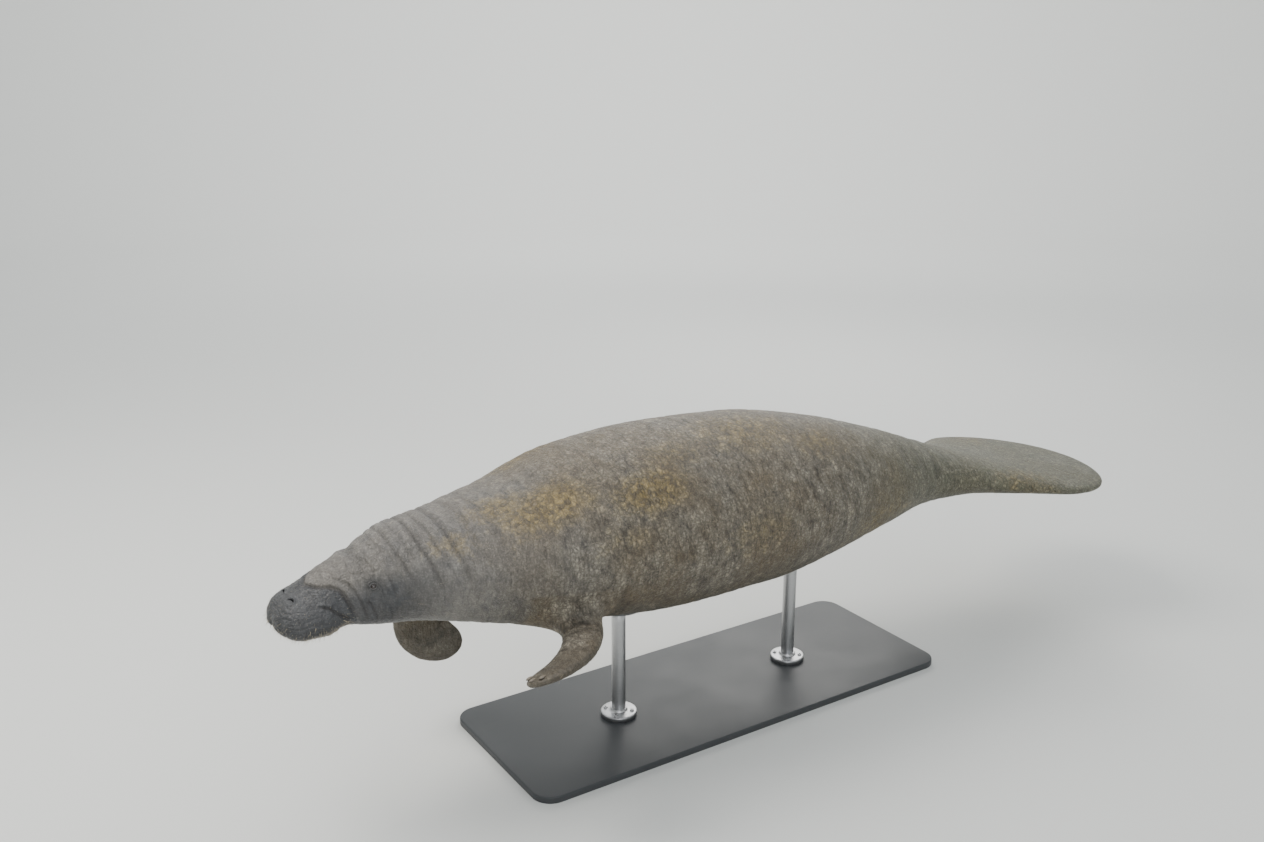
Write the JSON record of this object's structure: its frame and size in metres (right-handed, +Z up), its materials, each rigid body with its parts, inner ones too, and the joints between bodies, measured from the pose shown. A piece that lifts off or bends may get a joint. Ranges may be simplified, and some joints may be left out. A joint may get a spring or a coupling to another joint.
{
  "type": "life-size manatee display model on a stand",
  "caption": "Life-size adult manatee swimming level, one flipper reaching forward and one hanging down, held by two rods on a flat base.",
  "frame": {"origin": "on the floor, at the middle of the underside of the stand's base plate", "axes": "+Z up, the animal faces -Y with its tail towards +Y, and its left side is +X"},
  "size_m": [0.8015, 2.9843, 0.9207],
  "materials": {
    "hide": "thick wrinkled grey-brown hide with olive algae patches on the back",
    "eye": "wet, near-black brown eye",
    "horn": "pale dull horn of the nails and bristles",
    "stand_paint": "charcoal powder coat, satin",
    "stand_steel": "brushed stainless steel"
  },
  "bodies": {
    "root": {"muzzle": "hide", "lower_jaw": "hide", "head": "hide", "neck": "hide", "chest": "hide", "belly": "hide", "loin": "hide", "tail_stock": "hide", "tail_paddle": "hide", "flipper_left": "hide", "flipper_right": "hide", "eye_left": "eye", "eye_right": "eye", "nail_left_1": "horn", "nail_left_2": "horn", "nail_left_3": "horn", "nail_right_1": "horn", "nail_right_2": "horn", "nail_right_3": "horn", "stand_base": "stand_paint", "stand_foot_front": "stand_steel", "stand_rod_front": "stand_steel", "stand_saddle_front": "stand_steel", "stand_foot_rear": "stand_steel", "stand_rod_rear": "stand_steel", "stand_saddle_rear": "stand_steel"}
  },
  "joints": []
}
